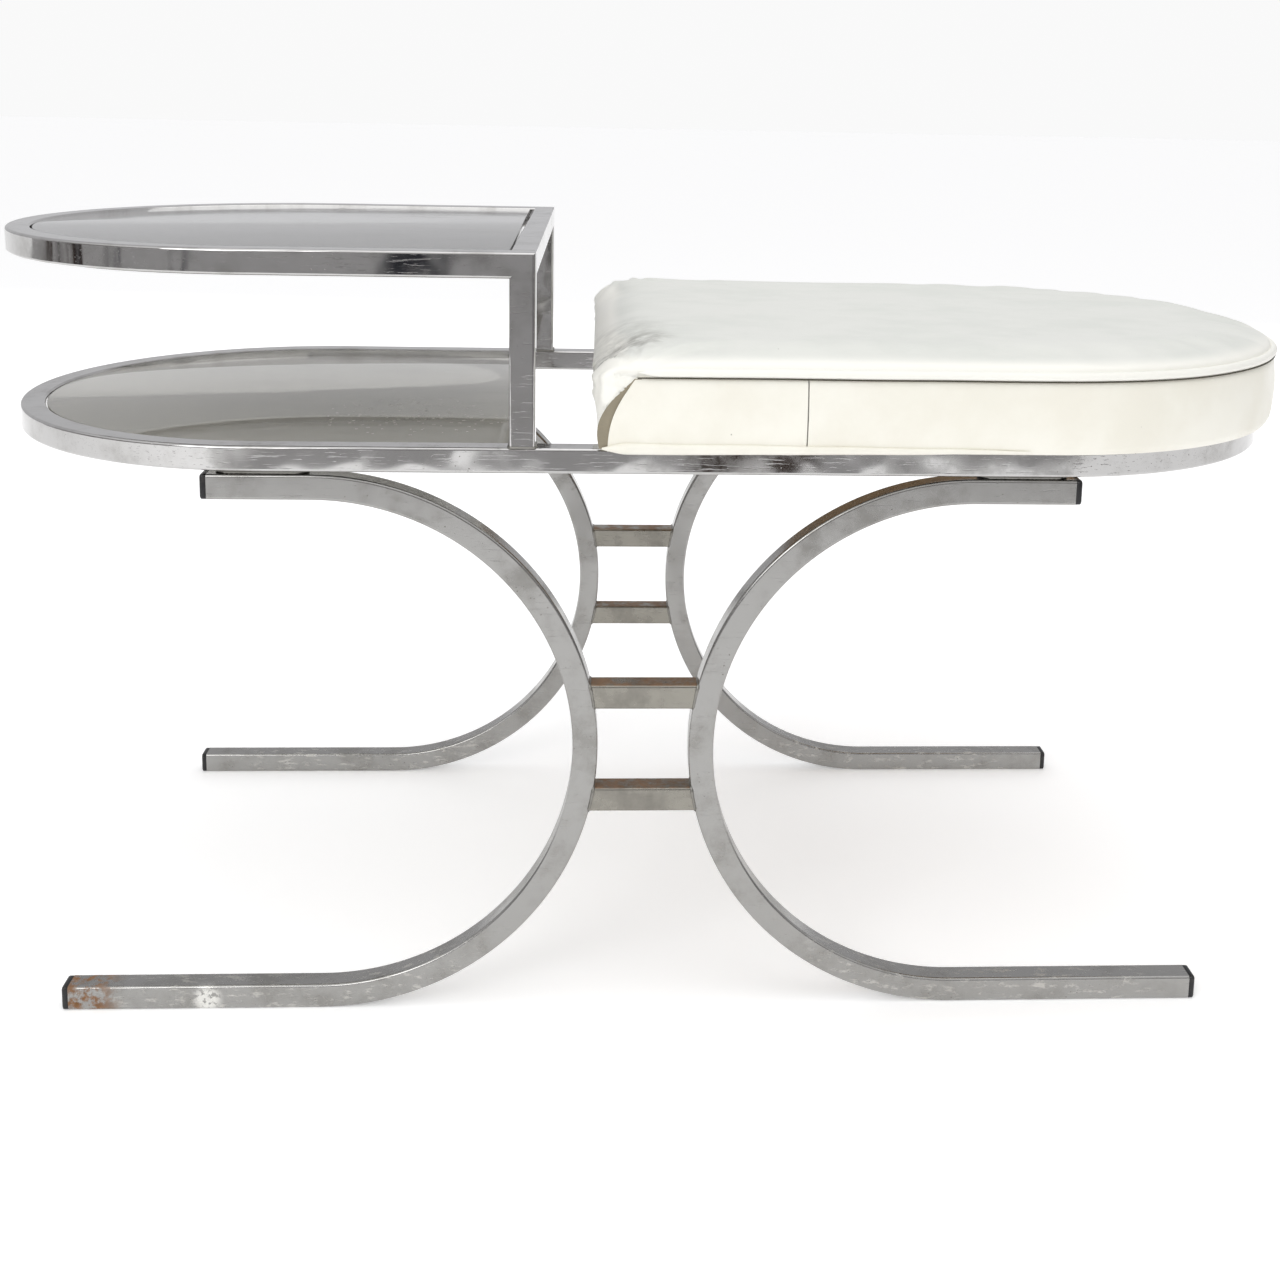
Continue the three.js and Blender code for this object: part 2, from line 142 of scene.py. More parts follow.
# Chrome plated steel tube: a wavy mirror, dulled by haze, pinholes, scuffs and rust
def platedSteel(name, look, rustSpots=(), paintSpots=(), topRust=0.0, scuffSpots=()):
    material, shader, place = newMaterial(name, {"Metallic": 1.0, "Roughness": look["haze"]})
    cells = addNode(material, "TexVoronoi", {"Vector": place, "Scale": perSize(4.5)})
    pits = addNode(material, "MapRange", (cells, 0.05, 0.12, 1.0, 0.0), **smooth)
    freckles = addNode(material, "Math", (pits, patches(material, place, 60, 0.5, 0.66)), **times)
    smear = patches(material, place, 35, 0.42, 0.75, 6.0, 0.65)
    scratches = patches(material, place, 1.3, 0.60, 0.72, 3.0, 0.6, (0.06, 0.9, 0.9))
    dirty = addNode(material, "Math", (smear, look["grime"]), **times)
    metal = addNode(material, "Mix", {
        0: dirty, 6: colour(look["metal"]), 7: colour(chromeLook["dirt"])}, 2, **inColour)
    pinholes = addNode(material, "Math", (freckles, 0.85), **times)
    metal = addNode(material, "Mix", {
        0: pinholes, 6: metal, 7: colour(chromeLook["pinhole"])}, 2, **inColour)
    haze = addNode(material, "Math", (smear, 0.12), **times)
    haze = addNode(material, "Math", (look["haze"], haze), **plus)
    roughness = addNode(material, "Math", (
        haze, addNode(material, "Math", (scratches, 0.12), **times)), **plus)
    sources = {}
    rustMasks = [spotPatches(material, place, spot, patches(
        material, place, 9, 0.42, 0.58, 6.0, 0.7)) for spot in rustSpots]
    if topRust:
        normal = addNode(material, "NewGeometry", output="Normal")
        upward = addNode(material, "SeparateXYZ", (normal,), "Z")
        facing = addNode(material, "MapRange", (upward, 0.6, 0.9), **smooth)
        bloom = patches(material, place, 14, 0.35, 0.6, 6.0, 0.7)
        bloom = addNode(material, "Math", (topRust, bloom), **times)
        rustMasks.append(addNode(material, "Math", (facing, bloom), **times))
    if rustMasks:
        rust = rustMasks[0]
        for mask in rustMasks[1:]:
            rust = addNode(material, "Math", (rust, mask), **larger)
        dark, light = chromeLook["rust"]
        grit = addNode(material, "TexNoise", {
            "Vector": place, "Scale": perSize(4), "Detail": 4.0, "Roughness": 0.55})
        rustTone = addNode(material, "Mix", {0: grit, 6: colour(dark), 7: colour(light)},
                           2, **inColour)
        metal = addNode(material, "Mix", {0: rust, 6: metal, 7: rustTone}, 2, **inColour)
        roughness = addNode(material, "Math", (
            roughness, addNode(material, "Math", (rust, 0.5), **times)), **plus)
        sources["Metallic"] = addNode(material, "MapRange", (rust, 0.1, 0.9, 1.0, 0.15), **smooth)
    for spot in scuffSpots:
        streaks = patches(material, place, 5, 0.54, 0.66, 4.0, 0.7, (0.35, 1.0, 1.0))
        scuff = spotPatches(material, place, spot, streaks)
        pale = addNode(material, "Math", (scuff, 0.6), **times)
        metal = addNode(material, "Mix", {
            0: pale, 6: metal, 7: colour(chromeLook["scuff"])}, 2, **inColour)
        roughness = addNode(material, "Math", (
            roughness, addNode(material, "Math", (scuff, 0.3), **times)), **plus)
    for spot in paintSpots:
        dab = spotPatches(material, place, spot, patches(
            material, place, 3.5, 0.40, 0.5, 3.0, 0.6))
        metal = addNode(material, "Mix", {
            0: dab, 6: metal, 7: colour(chromeLook["paint"])}, 2, **inColour)
    ripple = addNode(material, "TexNoise", {
        "Vector": place, "Scale": perSize(45), "Detail": 1.0, "Roughness": 0.55})
    finishShader(material, shader, {"Base Color": metal, "Roughness": roughness, **sources}, [
        (ripple, look["ripple"], 0.004), (freckles, 0.4, -0.0003), (scratches, 0.15, -0.0001)])
    return material


# Injection-moulded nylon: black, finely speckled, with dust lying on it
def mouldedNylon():
    material, shader, place = newMaterial("mouldedBlackNylon", {"IOR": 1.5})
    speck = addNode(material, "TexNoise", {
        "Vector": place, "Scale": perSize(0.6), "Detail": 3.0, "Roughness": 0.55})
    dust = patches(material, place, 9, 0.5, 0.8, 5.0, 0.6)
    film = addNode(material, "Math", (dust, 0.25), **times)
    tone = addNode(material, "Mix", {0: film, 6: colour("#17171a"), 7: colour("#77736b")},
                   2, **inColour)
    dull = addNode(material, "MapRange", (dust, 0.0, 1.0, 0.32, 0.6), **smooth)
    finishShader(material, shader, {"Base Color": tone, "Roughness": dull},
                 [(speck, 0.25, 0.0002)])
    return material


glassLook = {
    "upper": {"tint": "#c8c8c8", "film": 0.3, "spots": 0.0},
    "lower": {"tint": "#cdcbc3", "film": 0.22, "spots": 0.8},
    "dust": "#8d8a82",
}


# Smoked float glass: grey and glossy, under a streaky dust film and dried water drops
def smokedGlass(name, look, filmSpot, dropSpot):
    material, shader, place = newMaterial(name, {"IOR": 1.5, "Specular IOR Level": 0.3})
    streaks = patches(material, place, 60, 0.42, 0.78, 6.0, 0.65, (0.5, 1.6, 1.0))
    film = addNode(material, "Math", (
        spotPatches(material, place, filmSpot, streaks), look["film"]), **times)
    cells = addNode(material, "TexVoronoi", {"Vector": place, "Scale": perSize(7)})
    disc = addNode(material, "MapRange", (cells, 0.16, 0.2, 1.0, 0.0), **smooth)
    core = addNode(material, "MapRange", (cells, 0.09, 0.13, 1.0, 0.0), **smooth)
    outline = addNode(material, "Math", (disc, core), operation="SUBTRACT")
    marks = addNode(material, "Math", (
        spotPatches(material, place, dropSpot, outline), look["spots"]), **times)
    dirt = addNode(material, "Math", (film, marks), **larger)
    tone = addNode(material, "Mix", {
        0: dirt, 6: colour(look["tint"]), 7: colour(glassLook["dust"])}, 2, **inColour)
    clear = addNode(material, "MapRange", (dirt, 0.0, 1.0, 0.6, 0.3), **smooth)
    dull = addNode(material, "MapRange", (dirt, 0.0, 0.8, 0.02, 0.4), **smooth)
    finishShader(material, shader, {
        "Base Color": tone, "Transmission Weight": clear, "Roughness": dull},
        [(marks, 0.2, 0.0001)])
    return material


# Cast clear rubber: milky and soft-edged
def clearRubber():
    material, shader, place = newMaterial("clearRubberPad", {
        "IOR": 1.45, "Transmission Weight": 0.5, "Roughness": 0.35})
    cloud = addNode(material, "TexNoise", {
        "Vector": place, "Scale": perSize(3), "Detail": 3.0, "Roughness": 0.55})
    tone = addNode(material, "Mix", {0: cloud, 6: colour("#dcd9cc"), 7: colour("#c8c2ac")},
                   2, **inColour)
    finishShader(material, shader, {"Base Color": tone}, [(cloud, 0.2, 0.0003)])
    return material


# Sawn birch plywood: long grain, with its plies showing as bands on the edge
def birchPlywood():
    material, shader, place = newMaterial("birchPlywood", {"Roughness": 0.72, "IOR": 1.5})
    drawn = addNode(material, "Mapping", {"Vector": place, "Scale": (0.08, 1.0, 1.0)})
    grain = addNode(material, "TexNoise", {
        "Vector": drawn, "Scale": perSize(5), "Detail": 6.0, "Roughness": 0.6})
    plies = addNode(material, "TexWave", {
        "Vector": place, "Scale": perSize(9), "Distortion": 0.6}, 1, bands_direction="Z")
    tone = addNode(material, "Mix", {0: grain, 6: colour("#7d6343"), 7: colour("#947853")},
                   2, **inColour)
    layers = addNode(material, "MapRange", (plies, 0.3, 0.7), **smooth)
    layers = addNode(material, "Math", (layers, 0.3), **times)
    tone = addNode(material, "Mix", {0: layers, 6: tone, 7: colour("#5d4529")}, 2, **inColour)
    finishShader(material, shader, {"Base Color": tone}, [(grain, 0.3, 0.0004)])
    return material


# Zinc plated steel: a clouded grey metal, neither bright nor dull
def zincSteel():
    material, shader, place = newMaterial("zincPlatedSteel", {"Metallic": 1.0})
    cloud = addNode(material, "TexNoise", {
        "Vector": place, "Scale": perSize(2.5), "Detail": 5.0, "Roughness": 0.55})
    tone = addNode(material, "Mix", {0: cloud, 6: colour("#a8a9a6"), 7: colour("#7c7b74")},
                   2, **inColour)
    dull = addNode(material, "MapRange", (cloud, 0.3, 0.7, 0.3, 0.5), **smooth)
    finishShader(material, shader, {"Base Color": tone, "Roughness": dull},
                 [(cloud, 0.3, 0.0002)])
    return material


vinylLook = {
    # painted shade: the cover's colours are greyer than the band's, so that its top reads darker
    "cover": {"base": "#e5e6e0", "shade": "#dcded8", "clean": "#f6f5ee", "grain": 0.3, "gloss": 0.4},
    "band": {"base": "#f6f4ea", "shade": "#efece0", "grain": 0.25, "gloss": 0.38},
    # painted shade: the lining is a darker beige, for the shade in the open wrap gap
    "lining": {"base": "#a39a86", "shade": "#8b8371", "grain": 0.6, "gloss": 0.85},
    "speck": "#6f6a5c", "smudge": "#8e8c84",
}


# Calendered vinyl cloth: satin white with a pebble grain. On the cover, painted shade makes the top
# greyer than the shoulder and darkens patches in the creases. The grain is drawn at 1.4 mm, coarser
# than it is, to show at all
def whiteVinyl(name, look, creaseShading=()):
    material, shader, place = newMaterial(name, {
        "IOR": 1.5, "Coat Weight": 0.08, "Coat Roughness": 0.3})
    cells = addNode(material, "TexVoronoi", {"Vector": place, "Scale": perSize(1.4)})
    pebble = addNode(material, "MapRange", (cells, 0.1, 0.7), **smooth)
    soft = addNode(material, "TexNoise", {
        "Vector": place, "Scale": perSize(70), "Detail": 5.0, "Roughness": 0.55})
    aged = addNode(material, "MapRange", (soft, 0.35, 0.7), **smooth)
    tone = addNode(material, "Mix", {0: aged, 6: colour(look["base"]), 7: colour(look["shade"])},
                   2, **inColour)
    dots = addNode(material, "TexVoronoi", {"Vector": place, "Scale": perSize(22)})
    dots = addNode(material, "MapRange", (dots, 0.02, 0.035, 1.0, 0.0), **smooth)
    speck = addNode(material, "Math", (dots, patches(material, place, 80, 0.5, 0.6)), **times)
    speck = addNode(material, "Math", (speck, 0.6), **times)
    tone = addNode(material, "Mix", {0: speck, 6: tone, 7: colour(vinylLook["speck"])},
                   2, **inColour)
    if "clean" in look:  # painted shade: the top is greyer than the shoulder, as if less lit
        height = addNode(material, "SeparateXYZ", (place,), "Z")
        shadedTop = addNode(material, "MapRange", (
            height, seatHigh.z - 0.0075, seatHigh.z - 0.0015), **smooth)
        tone = addNode(material, "Mix", {0: shadedTop, 6: colour(look["clean"]), 7: tone},
                       2, **inColour)
    # painted shade: grey patches darken the creases at the listed spots
    for spot, strength in creaseShading:
        shadePatch = spotPatches(material, place, spot, patches(
            material, place, 16, 0.3, 0.7, 5.0, 0.6))
        shadePatch = addNode(material, "Math", (shadePatch, strength), **times)
        tone = addNode(material, "Mix", {0: shadePatch, 6: tone, 7: colour(vinylLook["smudge"])},
                       2, **inColour)
    dull = addNode(material, "MapRange", (
        soft, 0.3, 0.7, look["gloss"] - 0.05, look["gloss"] + 0.08), **smooth)
    slack = addNode(material, "TexNoise", {
        "Vector": place, "Scale": perSize(40), "Detail": 2.0, "Roughness": 0.55})
    finishShader(material, shader, {"Base Color": tone, "Roughness": dull},
                 [(slack, 0.05, 0.004), (pebble, look["grain"], 0.00012)])
    return material


# Seam line: dark as painted shadow under the cover's overlap, twisted, matt
def seamShadowLine():
    material, shader, place = newMaterial("spunSeamThread", {"Roughness": 0.8, "IOR": 1.45})
    twist = addNode(material, "TexNoise", {
        "Vector": place, "Scale": perSize(1.2), "Detail": 2.0, "Roughness": 0.55})
    tone = addNode(material, "Mix", {0: twist, 6: colour("#3a372f"), 7: colour("#5c574a")},
                   2, **inColour)
    finishShader(material, shader, {"Base Color": tone}, [(twist, 0.4, 0.0003)])
    return material


def addMesh(name, verts, faces, material, normals=None):
    mesh = bpy.data.meshes.new(name)
    mesh.from_pydata([tuple(v) for v in verts], [], faces)
    mesh.validate()
    for face in mesh.polygons:
        face.use_smooth = True
    if normals:
        mesh.normals_split_custom_set_from_vertices([tuple(n) for n in normals])
    obj = bpy.data.objects.new(name, mesh)
    bpy.context.scene.collection.objects.link(obj)
    mesh.materials.append(material)
    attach(obj, "bench_frame")
    return obj


def faceOutward(obj):
    bm = bmesh.new()
    bm.from_mesh(obj.data)
    bmesh.ops.recalc_face_normals(bm, faces=bm.faces)
    bm.to_mesh(obj.data)
    bm.free()


def loftFaces(rows, size, closed=False, capped=True, flip=False):
    faces = []  # joins rows of points, each row a closed loop of the same size
    for i in range(rows if closed else rows - 1):
        for k in range(size):
            a, b, after = i * size + k, i * size + (k + 1) % size, (i + 1) % rows * size
            faces.append((a, b, after + (k + 1) % size, after + k))
    if capped:
        faces += [tuple(range(size))[::-1], tuple((rows - 1) * size + k for k in range(size))]
    return [face[::-1] for face in faces] if flip else faces


def squareSection(side, radius, steps=6):
    section = []  # place and normal of each point round a rounded square
    inner = side / 2 - radius
    for k in range(4):
        cx = inner * (1, -1, -1, 1)[k]
        cy = inner * (1, 1, -1, -1)[k]
        for i in range(steps + 1):
            angle = math.pi / 2 * (k + i / steps)
            n = (math.cos(angle), math.sin(angle))
            section.append((cx + radius * n[0], cy + radius * n[1], n[0], n[1]))
    return section


def slideTo(planePoint, planeNormal):
    def move(place, along):  # slides an end's points along the tube onto a plane
        reach = (planePoint - place).dot(planeNormal) / along.dot(planeNormal)
        return place + along * reach
    return move


tubing = {
    "cornerRadius": 0.0022,  # outer corner of the square tube
    "arcSteps": 96,  # steps in each half turn
    "postBead": 0.0009,  # thickness of the weld beads
    "rungBead": 0.0011,
    "beadLumps": 0.25,  # unevenness, as a part of the thickness
}


def sweepTube(name, path, across, material, closed=False, startMove=None, endMove=None,
              section=None):
    section = section or squareSection(tube, tubing["cornerRadius"])
    verts, normals = [], []
    count = len(path)
    for i, point in enumerate(path):
        before = path[(i - 1) % count] if closed or i else path[0]
        after = path[(i + 1) % count] if closed or i < count - 1 else path[-1]
        along = (after - before).normalized()
        outward = across.cross(along).normalized()
        move = startMove if i == 0 else endMove if i == count - 1 else None
        for a, b, na, nb in section:
            place = point + outward * a + across * b
            verts.append(move(place, along) if move and not closed else place)
            normals.append(outward * na + across * nb)
    size = len(section)
    faces = loftFaces(count, size, closed, capped=False)
    if not closed:
        for start, flip in ((0, True), ((count - 1) * size, False)):
            loop = tuple(range(len(verts), len(verts) + size))
            verts.extend(verts[start:start + size])
            facing = (path[0] - path[1]) if flip else (path[-1] - path[-2])
            normals.extend([facing.normalized()] * size)
            faces.append(loop[::-1] if flip else loop)
    return addMesh(name, verts, faces, material, normals)


def arc(cx, cy, radius, start, end, steps):
    return [(cx + radius * math.cos(start + (end - start) * i / steps),
             cy + radius * math.sin(start + (end - start) * i / steps)) for i in range(steps + 1)]


def beadAround(name, points, thickness, seed):
    random.seed(seed)  # a closed lumpy weld bead through the given points
    verts = []
    sides = 8
    count = len(points)
    for i, point in enumerate(points):
        along = (points[(i + 1) % count] - points[i - 1]).normalized()
        a = along.orthogonal().normalized() if abs(along.z) > 0.9 else along.cross(Vector((0, 0, 1)))
        a.normalize()
        b = along.cross(a)
        size = thickness * (1 + tubing["beadLumps"] * (random.random() - 0.5) * 2)
        for k in range(sides):
            angle = 2 * math.pi * k / sides
            verts.append(point + (a * math.cos(angle) + b * math.sin(angle)) * size)
    bead = addMesh(name, verts, loftFaces(count, sides, closed=True, capped=False), weldedSteel)


ringChrome = platedSteel("polishedChromeRing", chromeLook["ring"])
weldedSteel = platedSteel("platedWeldSteel", chromeLook["weld"])


def makeLowerRing():
    leftX, rightX = low("lower_ring").x, high("lower_ring").x
    turn = halfDepth - tube / 2
    z = (ringLow + ringTop) / 2
    flat = arc(rightX - halfDepth, 0, turn, -math.pi / 2, math.pi / 2, tubing["arcSteps"])
    flat += arc(leftX + halfDepth, 0, turn, math.pi / 2, math.pi * 1.5, tubing["arcSteps"])
    path = [Vector((x, y, z)) for x, y in flat]
    ring = sweepTube("ringTube", path, Vector((0, 0, 1)), ringChrome, closed=True)
    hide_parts("lower_ring")


def makeUpperRing():
    leftX = low("upper_ring").x
    turn = halfDepth - tube / 2
    z = (upperLow + upperTop) / 2
    flat = [(postX, -turn)]
    flat += arc(leftX + halfDepth, 0, turn, -math.pi / 2, -math.pi * 1.5, tubing["arcSteps"])
    flat += [(postX, turn)]
    corner = slideTo(Vector((postX, 0, z)), Vector((1, 0, -1)).normalized())
    path = [Vector((x, y, z)) for x, y in flat]
    ring = sweepTube("raisedRingTube", path, Vector((0, 0, 1)), ringChrome,
                     startMove=corner, endMove=corner)
    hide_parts("upper_ring")
    for nameEnd, y in (("front", -turn), ("rear", turn)):
        path = [Vector((postX, y, ringTop + 0.0001)), Vector((postX, y, z))]
        post = sweepTube(f"shelfPost_{nameEnd}", path, Vector((0, 1, 0)), ringChrome,
                         endMove=corner)
        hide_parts(f"shelf_post_{nameEnd}")
        base = [Vector((postX + a, y + b, ringTop + 0.0004))
                for a, b, na, nb in squareSection(tube + 0.0006, 0.0024, 10)]
        beadAround(f"postWeldBead_{nameEnd}", base, tubing["postBead"], seed=7)


def makeCrossRail():
    z = (upperLow + upperTop) / 2
    reach = high("upper_cross_rail").y
    path = [Vector((postX, -reach, z)), Vector((postX, 0, z)), Vector((postX, reach, z))]
    rail = sweepTube("raisedCrossRail", path, Vector((0, 0, 1)), ringChrome)
    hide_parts("upper_cross_rail")


makeLowerRing()
makeUpperRing()
makeCrossRail()
print("stage: rings made")

sidesX = {"left": -1, "right": 1}
framesY = {"front": -1, "rear": 1}
legWear = {
    "rust": (0.012, 0.034),  # place from the front left foot's end, and radius
    "paint": (0.105, 0.014),
    "scuffs": ((0.33, 0.1), (0.19, 0.09)),  # places from the legs' middle, and radii
}


def legPath(side, y):
    turn = legRadius - tube / 2
    centre = waistHalf + legRadius
    flat = [(topReach, legHeight - tube / 2)]
    flat += arc(centre, legRadius, turn, math.pi / 2, math.pi * 1.5, tubing["arcSteps"])
    flat += [(footReach, tube / 2)]
    return [Vector((legAxisX + side * x, y, z)) for x, z in flat]


def makeLegs():
    footEnd = legAxisX - footReach
    (rustFrom, rustRadius), (paintFrom, paintRadius) = legWear["rust"], legWear["paint"]
    footRust = (Vector((footEnd + rustFrom, -legY, 0.008)), rustRadius)
    footPaint = (Vector((footEnd + paintFrom, -legY - tube / 2, 0.0085)), paintRadius)
    for frameName, frameSide in framesY.items():
        for sideName, side in sidesX.items():
            first = frameName == "front" and sideName == "left"
            scuffs = [(Vector((legAxisX + side * x, frameSide * (legY + 0.005), 0.01)), radius)
                      for x, radius in legWear["scuffs"]]
            steel = platedSteel(f"hazedChromeLeg_{frameName}_{sideName}", chromeLook["leg"],
                                [footRust] if first else (), [footPaint] if first else (),
                                scuffSpots=scuffs)
            leg = sweepTube(f"legTube_{frameName}_{sideName}",
                            legPath(side, frameSide * legY), Vector((0, 1, 0)), steel)
            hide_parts(f"leg_{frameName}_{sideName}")


def backOfLeg(side):
    centre = legAxisX + side * (waistHalf + legRadius)

    def move(place, along):  # moves a rung's end onto the leg's round back
        drop = legRadius ** 2 - (place.z - legRadius) ** 2
        return Vector((centre - side * (math.sqrt(drop) - 0.0004), place.y, place.z))
    return move


def makeRungs():
    rungSteel = platedSteel("rustedChromeRung", chromeLook["rung"], topRust=0.75)
    for frameName, frameSide in framesY.items():
        for levelName in ("upper", "lower"):
            node = f"rung_{frameName}_{levelName}"
            y, z = frameSide * legY, (low(node).z + high(node).z) / 2
            path = [Vector((legAxisX + x, y, z)) for x in (-0.03, 0, 0.03)]
            section = finerSection(squareSection(tube, tubing["cornerRadius"]), 6)
            rung = sweepTube(f"rungTube_{frameName}_{levelName}", path, Vector((0, 0, 1)),
                             rungSteel, section=section,
                             startMove=backOfLeg(-1), endMove=backOfLeg(1))
            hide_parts(node)
            for sideName, side in sidesX.items():
                rim = []
                for a, b, na, nb in finerSection(squareSection(tube, 0.0024, 4), 8):
                    edge = Vector((0, y + a, z + b))
                    rim.append(backOfLeg(side)(edge, None))
                beadAround(f"rungWeldBead_{frameName}_{levelName}_{sideName}", rim,
                           tubing["rungBead"], seed=11)


def finerSection(section, parts):
    fine = []  # divides the flats, so that an end can follow a curve
    for i, (a, b, na, nb) in enumerate(section):
        nextA, nextB, nextNa, nextNb = section[(i + 1) % len(section)]
        fine.append((a, b, na, nb))
        if math.hypot(nextA - a, nextB - b) > 0.005:
            for k in range(1, parts):
                t = k / parts
                fine.append((a + (nextA - a) * t, b + (nextB - b) * t, na, nb))
    return fine


endCap = {
    "profile": [(0.0, 1.0), (0.68, 1.0), (0.82, 0.97), (0.91, 0.9), (0.96, 0.78),
                (0.99, 0.5), (1.0, 0.2)],  # part of the head's rise, and its size there
    "trim": 0.0003,  # how much smaller than the tube
}


def makeCaps():
    nylon = mouldedNylon()
    rows = endCap["profile"]
    for endName in ("top", "foot"):
        for frameName in framesY:
            for sideName, side in sidesX.items():
                node = f"cap_{endName}_{frameName}_{sideName}"
                centre = (low(node) + high(node)) / 2
                reach = topReach if endName == "top" else footReach
                start = legAxisX + side * reach
                verts = []
                section = squareSection(tube - endCap["trim"], tubing["cornerRadius"])
                for rise, scale in rows:
                    for a, b, na, nb in section:
                        verts.append((start + side * (rise * capRise + 0.00005), centre.y + a * scale,
                                      centre.z + b * scale))
                faces = loftFaces(len(rows), len(section), flip=side < 0)
                cap = addMesh(f"endCap_{endName}_{frameName}_{sideName}", verts, faces, nylon)
                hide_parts(node)


weldSeam = {"columns": 60, "ripple": 0.04, "unevenness": 0.05}


def makeWeldSeams():
    for frameName in framesY:
        for sideName, side in sidesX.items():
            node = f"weld_{frameName}_{sideName}"
            lo, hi = low(node), high(node)
            verts = []
            columns = weldSeam["columns"]
            section = squareSection(1.0, 0.25, 4)
            random.seed(23 + columns * len(node))
            for i in range(columns + 1):
                x = lo.x + (hi.x - lo.x) * i / columns
                ends = min(1.0, 0.35 + 6 * min(i, columns - i) / columns)
                ripple = 1 + weldSeam["ripple"] * math.sin(i * 2.1)
                ripple += weldSeam["unevenness"] * (random.random() - 0.5)
                for a, b, na, nb in section:
                    verts.append((x, (lo.y + hi.y) / 2 + a * (hi.y - lo.y) * ends * ripple,
                                  (legHeight + ringLow) / 2 + b * (ringLow - legHeight + 0.0002)))
            seam = addMesh(f"weldSeam_{frameName}_{sideName}", verts,
                           loftFaces(columns + 1, len(section)), weldedSteel)
            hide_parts(node)


makeLegs()
makeRungs()
makeCaps()
makeWeldSeams()
print("stage: legs made")

def plateFrom(name, outline, bottom, top, edge, material, body):
    bm = bmesh.new()
    verts = [bm.verts.new((x, y, bottom)) for x, y in outline]
    face = bm.faces.new(verts)
    if face.normal.z > 0:
        face.normal_flip()
    made = bmesh.ops.extrude_face_region(bm, geom=[face])
    lifted = [v for v in made["geom"] if isinstance(v, bmesh.types.BMVert)]
    bmesh.ops.translate(bm, vec=(0, 0, top - bottom), verts=lifted)
    bmesh.ops.recalc_face_normals(bm, faces=bm.faces)
    mesh = bpy.data.meshes.new(name)
    bm.to_mesh(mesh)
    bm.free()
    obj = bpy.data.objects.new(name, mesh)
    bpy.context.scene.collection.objects.link(obj)
    mesh.materials.append(material)
    bevel = obj.modifiers.new("groundEdge", "BEVEL")
    bevel.width = edge
    bevel.segments = 3
    bevel.limit_method = "ANGLE"
    bevel.angle_limit = math.radians(40)
    applyModifiers(obj)
    for polygon in obj.data.polygons:
        polygon.use_smooth = True
    obj.data.set_sharp_from_angle(angle=math.radians(35))
    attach(obj, body)
    return obj


def applyModifiers(obj):
    graph = bpy.context.evaluated_depsgraph_get()
    made = bpy.data.meshes.new_from_object(obj.evaluated_get(graph))
    obj.modifiers.clear()
    obj.data = made


shelfGlass = {
    "groundEdge": 0.0008,
    "upperSkew": 0.003,  # the raised pane's rear right corner is cut short
    "film": ((-0.09, 0.05), 0.26),  # dust film: place from the right end's middle, and radius
    "drops": ((-0.08, -0.11), 0.12),
}


def makePanes():
    for shelf in ("upper", "lower"):
        node = f"{shelf}_glass"
        lo, hi = low(node), high(node)
        skew = shelfGlass["upperSkew"] if shelf == "upper" else 0.0
        outline = arc(lo.x + hi.y, 0, hi.y, math.pi / 2, math.pi * 1.5, tubing["arcSteps"])
        outline += [(hi.x, -hi.y), (hi.x - skew, hi.y)]
        film, drops = [(Vector((hi.x + x, y, hi.z)), radius)
                       for (x, y), radius in (shelfGlass["film"], shelfGlass["drops"])]
        glass = smokedGlass(f"smokedFloatGlass_{shelf}", glassLook[shelf], film, drops)
        pane = plateFrom(f"glassPane_{shelf}", outline, lo.z, hi.z, shelfGlass["groundEdge"],
                         glass, f"{shelf}_pane")
        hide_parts(node)


tabShape = {"reach": 0.024, "width": 0.026, "edge": 0.0005}
padShape = {"radius": 0.005, "edge": 0.0004, "sides": 48}


def roundTab(node, name, material, turn, origin):
    lo, hi = low(node), high(node)
    reach, width = tabShape["reach"], tabShape["width"]
    flat = [(0, -width / 2)] + arc(reach - width / 2, 0, width / 2, -math.pi / 2, math.pi / 2, 24)
    flat += [(0, width / 2)]
    spin = Matrix.Rotation(turn, 3, "Z")
    outline = [(spin @ Vector((x, y, 0)) + origin).to_2d() for x, y in flat]
    tab = plateFrom(name, outline, lo.z, hi.z, tabShape["edge"], material, "bench_frame")
    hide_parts(node)


def tabPlace(node):
    lo, hi = low(node), high(node)  # turn and root of a tab, from its box
    centre = (lo + hi) / 2
    if "left" in node and "glass" in node:
        turn = -math.copysign(math.pi / 4, centre.y)
        away = Vector((math.cos(turn), math.sin(turn), 0))
        return turn, centre - away * tabShape["reach"] / 2
    turn = -math.copysign(math.pi / 2, centre.y)
    return turn, Vector((centre.x, math.copysign(max(abs(lo.y), abs(hi.y)), centre.y), 0))


def makeTabs():
    tabSteel = platedSteel("dulledChromeTab", chromeLook["tab"])
    rubber = clearRubber()
    for node in [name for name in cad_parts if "_tab_" in name]:
        turn, origin = tabPlace(node)
        roundTab(node, "supportTab_" + node.replace("_tab", ""), tabSteel, turn, origin)
    for node in [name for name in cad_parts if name.startswith("glass_pad_")]:
        lo, hi = low(node), high(node)
        centre = (lo + hi) / 2
        sides = padShape["sides"]
        outline = arc(centre.x, centre.y, padShape["radius"], 0,
                      2 * math.pi * (sides - 1) / sides, sides - 1)
        pad = plateFrom("bumper_" + node, outline, lo.z, hi.z, padShape["edge"], rubber,
                        "bench_frame")
        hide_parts(node)


makePanes()
makeTabs()
print("stage: glass made")

boardWood = birchPlywood()
for slot in bpy.data.objects["seat_board"].material_slots:
    slot.material = boardWood
zinc = zincSteel()
screwShape = {"head": 0.0045, "headHeight": 0.0027, "shank": 0.002, "core": 0.0016,
              "pitch": 0.0012, "sides": 20}


